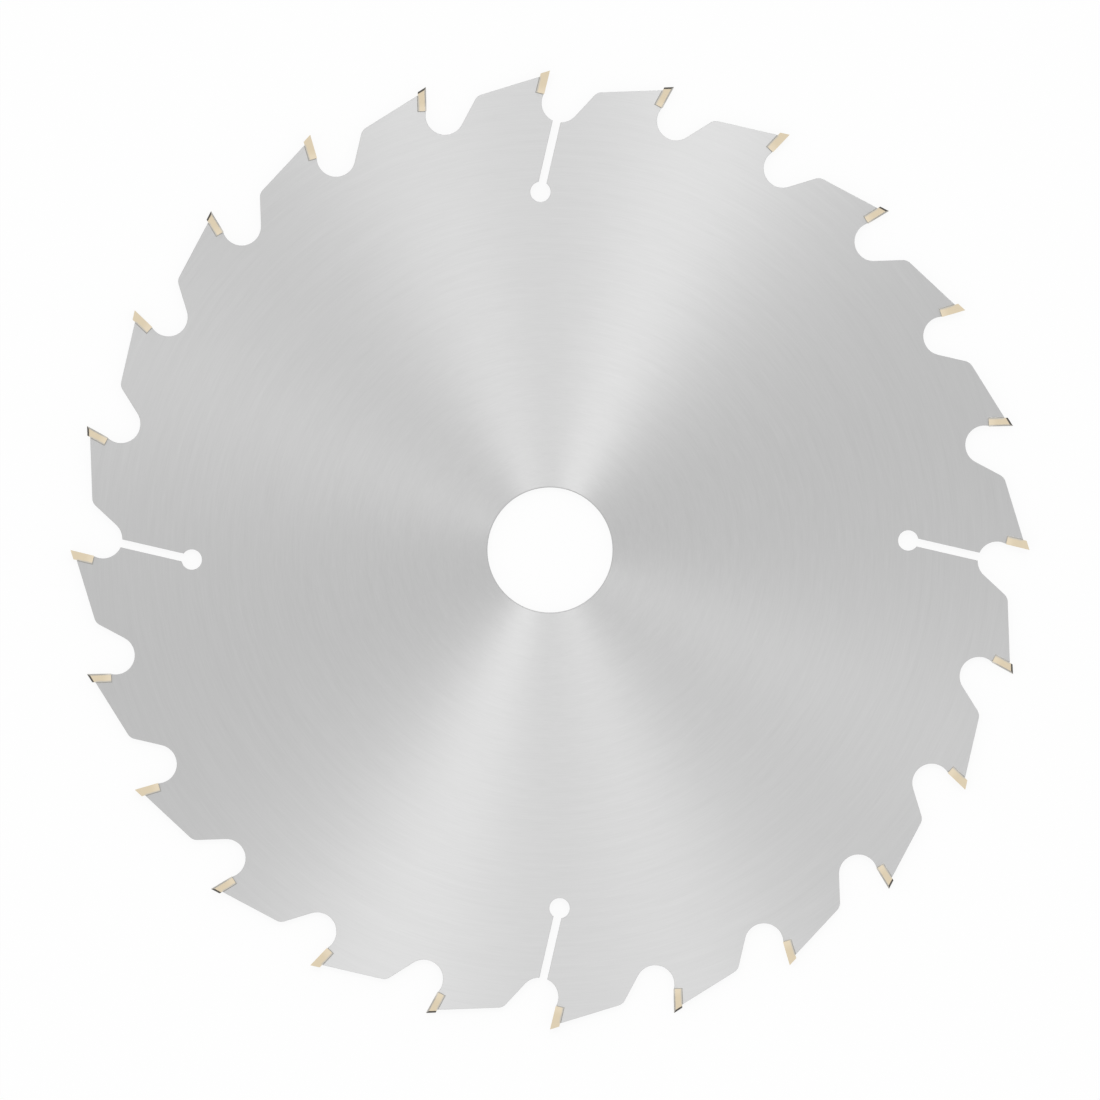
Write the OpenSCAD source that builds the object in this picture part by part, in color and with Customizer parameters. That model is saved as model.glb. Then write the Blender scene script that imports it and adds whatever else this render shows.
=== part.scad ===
// Circular saw blade with brazed carbide tips: a flat steel plate with a plain bore, gullets and
// expansion slots, and one ground tip seated at the front of every tooth.
// The bore's axis is Z, the plate's middle plane is Z = 0 and the first tooth points along +Y.
// Seen from above, the blade cuts clockwise.

/* [Blade] */
// Cutting diameter over the tips
blade_d = 230; // [190:1:300]
// Diameter of the bore
bore_d = 30; // [16:1:40]
// Thickness of the steel plate
plate_t = 1.8; // [1.2:0.1:2.4]
// Number of teeth
tooth_count = 24; // [16:2:36]

/* [Teeth] */
// Depth of a gullet below the cutting circle
gullet_depth = 12.4; // [10.5:0.1:13.5]
// Radius of the gullet floor
gullet_r = 4.65; // [4:0.05:5.5]
// Slope of the flank that leads out of a gullet, from the tangent at the gullet's own tip
flank_angle = 47; // [40:1:55]
// Rounding of the shoulder between flank and tooth back
shoulder_r = 2.5; // [1:0.1:4]
// Slope of the tooth back, from the tangent at its tip
back_angle = 17; // [12:1:20]

/* [Carbide tips] */
// Kerf: width of the cut, across the tip
kerf = 2.8; // [2.4:0.1:3.6]
// Thickness of a tip, from its face to its back
tip_t = 2; // [1.5:0.1:2.5]
// Length of a tip along its face
tip_length = 5.8; // [5:0.1:7]
// Hook: forward lean of the face from the radius
hook_angle = 13.5; // [5:0.5:20]
// Clearance of the ground top, from the tangent
top_angle = 17; // [12:1:20]
// Bevel across the top, which leans to the other side on every second tooth
top_bevel = 10; // [0:1:15]
// Bevel across the face, which leans with the top
face_bevel = 8; // [0:1:12]
// Radial clearance of the sides, towards the foot of the tip
radial_clearance = 1; // [0:0.25:2]
// Tangential clearance of the sides, towards the back of the tip
tangential_clearance = 2; // [0:0.25:4]
// Height of the ground top above the tooth back
tip_rise = 0.7; // [0.3:0.1:1]
// Lead of the face's foot over the gullet wall
tip_lead = 0.15; // [0:0.05:0.4]
// Braze film between a tip and its seat
braze_gap = 0.05; // [0.02:0.01:0.1]

/* [Expansion slots] */
// Number of slots
slot_count = 4; // [2:1:6]
// Width of a slot
slot_w = 1.95; // [1.5:0.05:3]
// Length of a slot, from the gullet floor to the centre of its end hole
slot_length = 17.2; // [10:0.1:24]
// Diameter of the end hole
slot_hole_d = 4.9; // [3:0.1:7]
// Forward lean of a slot from the radius of its tooth
slot_angle = 13; // [0:1:20]

/* [Hidden] */
$fa = 3;
$fs = 0.3;

function tip_name(i) = str("carbide_tip_", i < 10 ? "0" : "", i);

cutting_r = blade_d / 2;
pitch = 360 / tooth_count;

// Tooth frame: the origin is the cutting point, X leads the cut and Y points away from the bore.
bore_centre = [0, -cutting_r];
face_dir = [sin(hook_angle), cos(hook_angle)];
face_normal = [cos(hook_angle), -sin(hook_angle)];
back_dir = [cos(back_angle), sin(back_angle)];
back_point = tip_rise * [sin(back_angle), -cos(back_angle)];
tip_foot = -tip_length * face_dir - tip_t * face_normal;
seat_corner = tip_foot - braze_gap * (face_dir + face_normal);

function turn(p, a) = [p.x * cos(a) - p.y * sin(a), p.x * sin(a) + p.y * cos(a)];
// The same point of the tooth ahead, in the frame of this tooth
function ahead(p) = turn(p - bore_centre, -pitch) + bore_centre;
// Where the line through p along u crosses the line through q along v
function line_cross(p, u, q, v) = p + u * cross(q - p, v) / cross(u, v);

// The gullet circle starts at the seat's lip, just behind the foot of the face.
seat_lip = seat_corner + (tip_t + braze_gap - tip_lead) * face_normal;
lip_r = norm(seat_lip - bore_centre);
gullet_pitch_r = cutting_r - gullet_depth + gullet_r;
lip_turn = atan2(seat_lip.x, seat_lip.y - bore_centre.y);
gullet_turn = lip_turn
    + acos((lip_r ^ 2 + gullet_pitch_r ^ 2 - gullet_r ^ 2) / (2 * lip_r * gullet_pitch_r));
gullet_centre = bore_centre + gullet_pitch_r * [sin(gullet_turn), cos(gullet_turn)];

// The flank leaves the gullet at a tangent and meets the back of the tooth ahead at the shoulder.
flank_dir = [cos(flank_angle), sin(flank_angle)];
flank_start = gullet_centre + gullet_r * [sin(flank_angle), -cos(flank_angle)];
shoulder = line_cross(flank_start, flank_dir, ahead(back_point), turn(back_dir, -pitch));
shoulder_turn = flank_angle - back_angle + pitch;
flank_length = norm(shoulder - flank_start) - shoulder_r * tan(shoulder_turn / 2);
// Overlap by which the shoulder's arc runs into the straight tooth back
arc_overlap = 0.0001;

// Open space ahead of a tip: its gullet, the flank, the round shoulder and the back of the tooth ahead
module tooth_gap() {
    wedge_r = 2 * shoulder_r;
    run_in = flank_length + shoulder_r;
    translate(gullet_centre) rotate(flank_angle) {
        circle(gullet_r);
        translate([0, -gullet_r]) square([flank_length, 2 * gullet_r]);
        translate([flank_length, -gullet_r - shoulder_r]) {
            difference() {
                polygon([[0, 0], [0, wedge_r], wedge_r * [sin(shoulder_turn), cos(shoulder_turn)]]);
                circle(shoulder_r);
            }
            rotate(-shoulder_turn) translate([-run_in, shoulder_r - arc_overlap])
                square([run_in + 2 * PI * cutting_r / tooth_count, gullet_depth]);
        }
    }
}

// Corner that seats a tip, open to the front and to the top
module tip_seat() {
    translate(seat_corner) rotate(-hook_angle) square([tip_t + gullet_r, tip_length + gullet_r]);
}

// Slot from a gullet's centre inwards, with a round end hole
module expansion_slot() {
    end_depth = gullet_r + slot_length;
    translate(gullet_centre) rotate(-slot_angle) {
        translate([-slot_w / 2, -end_depth]) square([slot_w, end_depth]);
        translate([0, -end_depth]) circle(slot_hole_d / 2);
    }
}

module blade_plate() {
    color("#c8c8c8") linear_extrude(plate_t, center = true) difference() {
        circle(cutting_r);
        circle(bore_d / 2);
        for (i = [0 : tooth_count - 1]) rotate(i * pitch) translate([0, cutting_r]) {
            tooth_gap();
            tip_seat();
        }
        for (i = [0 : slot_count - 1]) rotate(floor(i * tooth_count / slot_count) * pitch)
            translate([0, cutting_r]) expansion_slot();
    }
}

// Block of stock beyond the plane through a point, square to a direction
module beyond(point, direction) {
    block = 4 * (tip_length + kerf);
    lean = acos(direction.z / norm(direction));
    translate(point) rotate([0, lean, atan2(direction.y, direction.x)])
        translate([-block / 2, -block / 2, 0]) cube(block);
}

// Tip blank in its seat, ground on the top, the face and both sides.
// side is 1 where the cutting point lies on the underside and -1 where it lies on the upper side.
module ground_tip(side) {
    point = [0, 0, -side * kerf / 2];
    stock = tip_t;
    difference() {
        translate([tip_foot.x, tip_foot.y, -kerf / 2 - stock]) rotate(-hook_angle)
            cube([tip_t + stock, tip_length + stock, kerf + 2 * stock]);
        beyond(point, [-sin(top_angle), cos(top_angle), side * tan(top_bevel)]);
        beyond(point, [face_normal.x, face_normal.y, side * tan(face_bevel)]);
        for (up = [-1, 1]) beyond([0, 0, up * kerf / 2],
            [-tan(tangential_clearance), -tan(radial_clearance), up]);
    }
}

module carbide_tip(i) {
    color("#e1d2b8") rotate((i - 1) * pitch) translate([0, cutting_r, 0])
        ground_tip(i % 2 == 0 ? 1 : -1);
}

blade_plate();
for (i = [1 : tooth_count]) carbide_tip(i);
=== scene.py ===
import math
import bpy
import bmesh
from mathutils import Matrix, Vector


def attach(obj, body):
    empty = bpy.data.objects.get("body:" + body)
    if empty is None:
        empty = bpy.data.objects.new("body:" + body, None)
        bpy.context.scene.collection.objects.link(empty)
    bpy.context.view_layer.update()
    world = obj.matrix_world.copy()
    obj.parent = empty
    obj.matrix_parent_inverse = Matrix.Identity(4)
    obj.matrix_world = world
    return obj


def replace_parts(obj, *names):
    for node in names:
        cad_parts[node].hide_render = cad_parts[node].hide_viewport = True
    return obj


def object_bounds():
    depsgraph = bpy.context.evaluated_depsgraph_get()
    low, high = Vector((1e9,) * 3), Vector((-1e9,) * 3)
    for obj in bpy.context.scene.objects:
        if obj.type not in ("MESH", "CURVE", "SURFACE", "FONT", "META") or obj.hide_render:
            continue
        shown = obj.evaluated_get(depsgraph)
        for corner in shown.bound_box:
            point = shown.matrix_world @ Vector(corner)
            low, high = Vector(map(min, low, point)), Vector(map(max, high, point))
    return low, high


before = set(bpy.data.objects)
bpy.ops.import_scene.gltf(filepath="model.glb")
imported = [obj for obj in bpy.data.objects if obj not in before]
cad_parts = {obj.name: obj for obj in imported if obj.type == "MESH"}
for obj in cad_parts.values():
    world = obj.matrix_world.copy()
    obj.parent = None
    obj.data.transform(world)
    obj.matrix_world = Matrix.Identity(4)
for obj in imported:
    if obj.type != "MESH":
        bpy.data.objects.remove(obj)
cadLow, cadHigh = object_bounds()
mm = 0.001
print("frame loaded:", len(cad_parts), "nodes")


# one wire of a shader tree: sums on wires add Math nodes, node() adds anything else
class Wire:
    def __init__(self, tree, socket=None):
        self.tree = tree
        self.socket = socket

    def node(self, kind, settings=None, sockets=None, out=0):
        made = self.tree.nodes.new(kind)
        for name, value in (settings or {}).items():
            setattr(made, name, value)
        for name, value in (sockets or {}).items():
            if isinstance(value, Wire):
                self.tree.links.new(value.socket, made.inputs[name])
            else:
                made.inputs[name].default_value = value
        return Wire(self.tree, made.outputs[out] if made.outputs else None)

    def math(self, operation, first, second=0.0):
        return self.node("ShaderNodeMath", {"operation": operation}, {0: first, 1: second})

    def vector(self, operation, sockets=None, out="Vector"):
        return self.node("ShaderNodeVectorMath", {"operation": operation}, {0: self, **(sockets or {})}, out)

    def __add__(self, other): return self.math("ADD", self, other)
    def __radd__(self, other): return self.math("ADD", other, self)
    def __sub__(self, other): return self.math("SUBTRACT", self, other)
    def __rsub__(self, other): return self.math("SUBTRACT", other, self)
    def __mul__(self, other): return self.math("MULTIPLY", self, other)
    def __rmul__(self, other): return self.math("MULTIPLY", other, self)


def newTree(block):
    block.use_nodes = True
    block.node_tree.nodes.clear()
    return Wire(block.node_tree)


def newMaterial(name, makeSurface):
    material = bpy.data.materials.new(name)
    tree = newTree(material)
    tree.node("ShaderNodeOutputMaterial", None, {"Surface": makeSurface(tree)})
    return material


def grey(level):
    return (level, level, level, 1)


def mixColour(share, first, second):
    return share.node("ShaderNodeMix", {"data_type": "RGBA"}, {0: share, 6: first, 7: second}, out=2)


def ramp(value, low, high):
    # 0 below low, 1 above high, eased in between
    return value.node("ShaderNodeMapRange", {"interpolation_type": "SMOOTHSTEP"},
                      {"Value": value, "From Min": low, "From Max": high})


def noise(where, scale=1.0, detail=2.0, roughness=0.6):
    return where.node("ShaderNodeTexNoise", None,
                      {"Vector": where, "Scale": scale, "Detail": detail, "Roughness": roughness})


def bump(height, depth):
    return height.node("ShaderNodeBump", None, {"Strength": 1.0, "Distance": depth, "Height": height})


# how the tips stand, from the solids: the first one's cutting point is straight out along Y
teeth = {
    "count": 24,
    "radius": 115.0 * mm,
    "faceUp": (0.23345, 0.97237),       # along the rake face, outwards
    "faceOut": (0.97237, -0.23345),     # square to the rake face
    "length": 5.8 * mm,
    "thickness": 2.0 * mm,
}


# where a point lies on the blade and how its face looks
class Place:
    def __init__(self, tree):
        self.at = tree.node("ShaderNodeTexCoord", out="Object")
        self.facing = tree.node("ShaderNodeTexCoord", out="Normal")
        flat = self.at.vector("MULTIPLY", {1: (1, 1, 0)})
        self.radius = flat.vector("LENGTH", out="Value")
        self.outward = flat.vector("NORMALIZE")

    def part(self, wire, letter):
        return wire.node("ShaderNodeSeparateXYZ", None, {0: wire}, out=letter)

    def level(self):
        # 1 on a face that lies flat, 0 on one that stands upright
        return self.facing.math("ABSOLUTE", self.part(self.facing, "Z"))

    def looking(self, direction):
        return self.facing.vector("DOT_PRODUCT", {1: direction}, out="Value")

    def rings(self, perRadian, perMetre):
        # a space in which noise is drawn out along circles: cells a radian and cells a metre of radius
        turned = self.outward.vector("SCALE", {"Scale": perRadian})
        lift = turned.node("ShaderNodeCombineXYZ", None, {"Z": self.radius * perMetre})
        return turned.vector("ADD", {1: lift})

    def stretched(self, *perMetre):
        return self.at.vector("MULTIPLY", {1: perMetre})

    def inTooth(self):
        # for the nearest tooth: how far along the rake face from the cutting point, how far in front of it
        x, y = self.part(self.at, "X"), self.part(self.at, "Y")
        turn = x.math("ARCTAN2", y, x) * (teeth["count"] / math.tau) + (0.5 - teeth["count"] / 4)
        swing = (turn.math("FRACT", turn) - 0.5) * (math.tau / teeth["count"])
        across = 0.0 - self.radius * swing.math("SINE", swing)
        out = self.radius * swing.math("COSINE", swing) - teeth["radius"]
        up, front = teeth["faceUp"], teeth["faceOut"]
        return across * up[0] + out * up[1], across * front[0] + out * front[1]


# plate steel: faces ground in circles, cut walls darker with the cutter's upright lines
steelLook = {
    "face": (0.510, 0.604),                 # darkest and palest grinding ring
    "wall": (0.30, 0.42),                   # darkest and palest line on a wall
    "wallLevel": (0.35, 0.6),               # all wall below the first, all face above the second
    "broadRings": (3.0, 800.0),             # cells a radian, cells a metre of radius
    "fineRings": (12.0, 4200.0),
    "fineShare": 0.6,
    "wallLines": (4200.0, 4200.0, 160.0),   # cells a metre
    "roughness": 0.442,
    "ringRoughness": 0.03,
    "wallRoughness": 0.46,
    "anisotropy": 0.897,
    "grooveTurn": 0.25,                     # lays the grooves round the bore
    "ringDepth": 0.0004 * mm,
    "wallDepth": 0.012 * mm,
}


def groundSteel(tree):
    look, place = steelLook, Place(tree)
    wall = 1.0 - ramp(place.level(), *look["wallLevel"])
    broad = noise(place.rings(*look["broadRings"]), roughness=0.5)
    fine = noise(place.rings(*look["fineRings"]))
    rings = broad * (1 - look["fineShare"]) + fine * look["fineShare"]
    lines = noise(place.stretched(*look["wallLines"]))
    faceColour = mixColour(rings, *map(grey, look["face"]))
    wallColour = mixColour(lines, *map(grey, look["wall"]))
    faceRough = rings * look["ringRoughness"] + (look["roughness"] - look["ringRoughness"] / 2)
    height = fine * (1.0 - wall) * (look["ringDepth"] / look["wallDepth"]) + lines * wall
    return tree.node("ShaderNodeBsdfPrincipled", None, {
        "Base Color": mixColour(wall, faceColour, wallColour),
        "Metallic": 1.0,
        "Roughness": faceRough + wall * (look["wallRoughness"] - look["roughness"]),
        "Anisotropic": look["anisotropy"],
        "Anisotropic Rotation": look["grooveTurn"],
        "Normal": bump(height, look["wallDepth"]),
    })


# carbide: satin tan sides, a dark top that is ground carbide's own grey darkened further by a painted dark
# reflection, and a greyer rake face
carbideLook = {
    "side": ((0.703, 0.594, 0.425, 1), (0.772, 0.663, 0.482, 1)),
    "foot": (0.80, 0.69, 0.515, 1),
    "solderBand": (0.57, 0.54, 0.485, 1),        # a darker, greyer band along the solder
    # the top's tones: ground carbide's own grey, darkened further as a painted dark reflection
    "top": ((0.050, 0.043, 0.034, 1), (0.088, 0.078, 0.062, 1)),
    "rake": ((0.35, 0.325, 0.28, 1), (0.46, 0.43, 0.375, 1)),
    "rakeFoot": (0.66, 0.61, 0.52, 1),
    "squarely": (0.6, 0.75),                # how far a face looks out or ahead to be top or rake
    "grain": 9000.0,                        # cells a metre
    "cloud": 700.0,
    "rings": (60.0, 9000.0),
    "topLines": (9000.0, 9000.0, 500.0),
    "footFrom": (-0.95, -0.6),              # shares of the tip's length
    "solderBandFrom": (-0.98, -0.76),            # shares of its thickness
    "solderBandTop": (-2.4 * mm, -1.7 * mm),     # only as high as the plate behind it
    "solderBandWander": 0.3 * mm,
    "roughness": 0.5,
    "grainRoughness": 0.08,
    "rakeRoughness": 0.4,
    "topRoughness": 0.8,
    "rakeMetal": 0.4,
    "gloss": 0.25,
    "grainDepth": 0.004 * mm,
}


def groundCarbide(tree):
    look, place = carbideLook, Place(tree)
    ahead = place.outward.vector("CROSS_PRODUCT", {1: (0, 0, 1)})
    top = ramp(place.looking(place.outward), *look["squarely"])
    rake = ramp(place.looking(ahead), *look["squarely"])
    grain = noise(place.at, look["grain"], 3.0, 0.65)
    cloud = noise(place.at, look["cloud"], roughness=0.5)
    rings = noise(place.rings(*look["rings"]))
    topLines = noise(place.stretched(*look["topLines"]))
    along, front = place.inTooth()
    foot = 1.0 - ramp(along, *(share * teeth["length"] for share in look["footFrom"]))
    # a darker, greyer band along the tip's back beside the solder, with a wandering edge
    edge = front + (cloud - 0.5) * look["solderBandWander"]
    solderBand = 1.0 - ramp(edge, *(share * teeth["thickness"] for share in look["solderBandFrom"]))
    solderBand = solderBand * (1.0 - ramp(along, *look["solderBandTop"]))
    side = mixColour(grain * 0.4 + cloud * 0.3 + rings * 0.3, *look["side"])
    side = mixColour(solderBand, mixColour(foot, side, look["foot"]), look["solderBand"])
    rakeColour = mixColour(rings * 0.5 + grain * 0.5, *look["rake"])
    rakeColour = mixColour(foot, rakeColour, look["rakeFoot"])
    # the top's colour: ground carbide darkened by a painted dark reflection
    topColour = mixColour(topLines, *look["top"])
    rough = grain * look["grainRoughness"] + (look["roughness"] - look["grainRoughness"] / 2)
    rough = rough + rake * (look["rakeRoughness"] - look["roughness"])
    rough = rough + top * (look["topRoughness"] - look["roughness"])
    return tree.node("ShaderNodeBsdfPrincipled", None, {
        "Base Color": mixColour(top, mixColour(rake, side, rakeColour), topColour),
        "Metallic": rake * look["rakeMetal"],
        "Roughness": rough,
        "Specular IOR Level": look["gloss"],
        "Normal": bump(grain * 0.5 + rings * 0.5, look["grainDepth"]),
    })


# silver solder round the seats
solderLook = {
    "colours": ((0.31, 0.30, 0.28, 1), (0.43, 0.42, 0.395, 1)),
    "lumps": 1800.0,                            # cells a metre
    "grain": 12000.0,
    "lumpDepth": 0.01 * mm,
    "metal": 1.0,
    "roughness": 0.42,
    "grainRoughness": 0.12,
    "smoothBelow": 50.0,                        # degrees
    "film": 0.05 * mm,                          # gap between tip and seat, filled
    "fillet": 0.15 * mm,
    "hollow": 0.28,                             # how full the fillet is at its middle
    "plateHalf": 0.9 * mm,
    "tipFoot": (-3.2987 * mm, 109.8272 * mm),   # inner back corner of the first tip
    "backLength": 3.6 * mm,
    "footLength": 1.7 * mm,
}


def silverSolder(tree):
    look, at = solderLook, tree.node("ShaderNodeTexCoord", out="Object")
    lumps = noise(at, look["lumps"], roughness=0.5)
    grain = noise(at, look["grain"])
    return tree.node("ShaderNodeBsdfPrincipled", None, {
        "Base Color": mixColour(lumps * 0.6 + grain * 0.4, *look["colours"]),
        "Metallic": look["metal"],
        "Roughness": grain * look["grainRoughness"] + (look["roughness"] - look["grainRoughness"] / 2),
        "Normal": bump(lumps * 0.8 + grain * 0.2, look["lumpDepth"]),
    })


def shadeCurves(bm, degrees):
    # faces that meet at less than this angle shade as one curve
    for face in bm.faces:
        face.smooth = True
    for edge in bm.edges:
        edge.smooth = edge.calc_face_angle(0) < math.radians(degrees)


def newObject(name, bm, material):
    mesh = bpy.data.meshes.new(name)
    bm.to_mesh(mesh)
    bm.free()
    if "custom_normal" in mesh.attributes:      # the solid's own, which don't fit the new faces
        mesh.attributes.remove(mesh.attributes["custom_normal"])
    mesh.materials.append(material)
    made = bpy.data.objects.new(name, mesh)
    bpy.context.collection.objects.link(made)
    return made


def addPiece(name, bm, material):
    piece = newObject(name, bm, material)
    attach(piece, "root")
    return piece


# the plate: the solid's own shape with a rounder chamfered bore and its cut edges broken
plateLook = {
    "weld": 0.0005 * mm,
    "flatWithin": 0.5,          # degrees
    "boreRadius": 15.0 * mm,
    "boreReach": 0.05 * mm,     # how near the bore's circle a point has to be
    "boreCuts": 3,
    "boreChamfer": 0.25 * mm,
    "edgeBreak": 0.05 * mm,
    "edgeAngle": 60.0,          # degrees
    "smoothBelow": 15.0,        # degrees
}


def makePlate(material):
    look, bm = plateLook, bmesh.new()
    bm.from_mesh(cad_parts["blade_plate"].data)
    bmesh.ops.remove_doubles(bm, verts=bm.verts, dist=look["weld"])
    bmesh.ops.dissolve_limit(bm, angle_limit=math.radians(look["flatWithin"]),
                             verts=bm.verts, edges=bm.edges)

    def onBore(vert):
        return abs(vert.co.xy.length - look["boreRadius"]) < look["boreReach"]

    def levelEdges():
        return [e for e in bm.edges if abs(e.verts[0].co.z - e.verts[1].co.z) < 0.001 * mm]

    def boreEdges():
        return [e for e in levelEdges() if all(onBore(v) for v in e.verts)]

    bmesh.ops.subdivide_edges(bm, edges=boreEdges(), cuts=look["boreCuts"], use_grid_fill=True)
    for vert in bm.verts:
        if onBore(vert):
            vert.co.xy = vert.co.xy.normalized() * look["boreRadius"]
    bmesh.ops.bevel(bm, geom=boreEdges(), offset=look["boreChamfer"], affect="EDGES",
                    segments=1, profile=0.5, material=-1)
    rim = [e for e in levelEdges() if e.calc_face_angle(0) > math.radians(look["edgeAngle"])]
    bmesh.ops.bevel(bm, geom=rim, offset=look["edgeBreak"], affect="EDGES",
                    segments=2, profile=0.5, material=-1)
    shadeCurves(bm, look["smoothBelow"])
    openEdges = [e for e in bm.edges if not e.is_manifold]
    print("plate:", len(bm.verts), "points", len(bm.faces), "faces", len(openEdges), "open edges")
    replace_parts(addPiece("ground_plate", bm, material), "blade_plate")


def makeSolder(material):
    look, bm = solderLook, bmesh.new()
    film, fillet, half = look["film"], look["fillet"], look["plateHalf"]
    hollowOut, hollowUp = look["hollow"] * (film + fillet), half + look["hollow"] * fillet
    section = [                                 # away from the tip, along the axis
        (0, -half - fillet), (hollowOut, -hollowUp), (film + fillet, -half), (film, -half),
        (film, half), (film + fillet, half), (hollowOut, hollowUp), (0, half + fillet),
    ]
    foot, faceUp, faceOut = Vector(look["tipFoot"]), Vector(teeth["faceUp"]), Vector(teeth["faceOut"])
    stations = [                                # down the tip's back, round its corner, along its foot
        (foot + look["backLength"] * faceUp, -faceOut),
        (foot, -faceOut - faceUp),
        (foot + look["footLength"] * faceOut, -faceUp),
    ]

    def lay(verts, station, away):
        for vert, (out, up) in zip(verts, section):
            vert.co = (station + out * away).to_3d() + Vector((0, 0, up))

    verts = [bm.verts.new() for _ in section]
    lay(verts, *stations[0])
    face = bm.faces.new(verts)
    for number, station in enumerate(stations[1:]):
        left = face
        made = bmesh.ops.extrude_face_region(bm, geom=[face], use_keep_orig=True)["geom"]
        face = next(part for part in made if isinstance(part, bmesh.types.BMFace))
        lay(face.verts, *station)
        if number:
            bmesh.ops.delete(bm, geom=[left], context="FACES_ONLY")   # the wall left inside
    bmesh.ops.spin(bm, geom=bm.verts[:] + bm.edges[:] + bm.faces[:], axis=(0, 0, 1), cent=(0, 0, 0),
                   angle=math.tau * (1 - 1 / teeth["count"]), steps=teeth["count"] - 1, use_duplicate=True)
    bmesh.ops.recalc_face_normals(bm, faces=bm.faces)
    shadeCurves(bm, look["smoothBelow"])
    print("solder:", len(bm.faces), "faces")
    addPiece("solder_joints", bm, material)


steel = newMaterial("ground_steel", groundSteel)
carbide = newMaterial("ground_carbide", groundCarbide)
makePlate(steel)
makeSolder(newMaterial("silver_solder", silverSolder))
for name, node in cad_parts.items():
    for slot in node.material_slots:
        slot.material = steel if name == "blade_plate" else carbide
print("pieces and materials done")

# floor, world, lamps
studio = {
    "floorSize": 3.0,
    "floorWhite": 0.95,
    "floorGlow": 0.9,             # share of the floor's white that no shadow takes away
    "skyOnThings": 0.8,           # what the white sky sheds on matt surfaces, beside the lamps
    "lampTilt": 25.0,             # degrees from straight above
    "lampSpread": 6.0,            # degrees across
    "lamps": [(68.8, 0.285), (108.2, 0.2155), (155.2, 0.104)],   # bearing in degrees, strength
}


def seenWhite(tree):
    # 1 for what the camera sees, straight or in metal and glass, 0 for the light that falls on things
    rays = ("Is Camera Ray", "Is Glossy Ray", "Is Transmission Ray")
    return tree.math("MINIMUM", sum(tree.node("ShaderNodeLightPath", out=ray) for ray in rays), 1.0)


def makeWorld():
    world = bpy.data.worlds.new("studio")
    bpy.context.scene.world = world
    tree = newTree(world)
    strength = seenWhite(tree) * (1 - studio["skyOnThings"]) + studio["skyOnThings"]
    sky = tree.node("ShaderNodeBackground", None, {"Color": grey(1), "Strength": strength})
    tree.node("ShaderNodeOutputWorld", None, {"Surface": sky})


def whiteFloor(tree):
    matt = tree.node("ShaderNodeBsdfDiffuse", None, {"Color": grey(studio["floorWhite"])})
    glow = tree.node("ShaderNodeEmission", None, {"Strength": 1.0})
    share = seenWhite(tree) * studio["floorGlow"]
    return tree.node("ShaderNodeMixShader", None, {0: share, 1: matt, 2: glow})


def makeFloor():
    bm = bmesh.new()
    bmesh.ops.create_grid(bm, x_segments=1, y_segments=1, size=studio["floorSize"] / 2)
    bmesh.ops.translate(bm, vec=(0, 0, cadLow.z), verts=bm.verts)
    newObject("floor", bm, newMaterial("floor", whiteFloor))


def makeLamps():
    tilt = math.radians(studio["lampTilt"])
    for bearing, strength in studio["lamps"]:
        data = bpy.data.lights.new("lamp", "SUN")
        data.energy = strength
        data.angle = math.radians(studio["lampSpread"])
        lamp = bpy.data.objects.new("lamp", data)
        turn = math.radians(bearing)
        towards = Vector((math.sin(tilt) * math.cos(turn), math.sin(tilt) * math.sin(turn), math.cos(tilt)))
        lamp.rotation_euler = towards.to_track_quat("Z", "Y").to_euler()
        lamp.location = towards
        bpy.context.collection.objects.link(lamp)


makeWorld()
makeFloor()
makeLamps()
print("studio done")

# camera, straight above
cameraLook = {
    "frameWidth": 263.8 * mm,
    "lens": 900.0,
    "sensor": 36.0,
}


def makeCamera():
    data = bpy.data.cameras.new("camera")
    data.sensor_width = cameraLook["sensor"]
    data.lens = cameraLook["lens"]
    camera = bpy.data.objects.new("camera", data)
    distance = cameraLook["frameWidth"] * cameraLook["lens"] / cameraLook["sensor"]
    camera.location = (0, 0, cadHigh.z + distance)
    data.clip_end = 4 * distance
    bpy.context.collection.objects.link(camera)
    bpy.context.scene.camera = camera


makeCamera()
bpy.context.scene.view_settings.view_transform = "Standard"
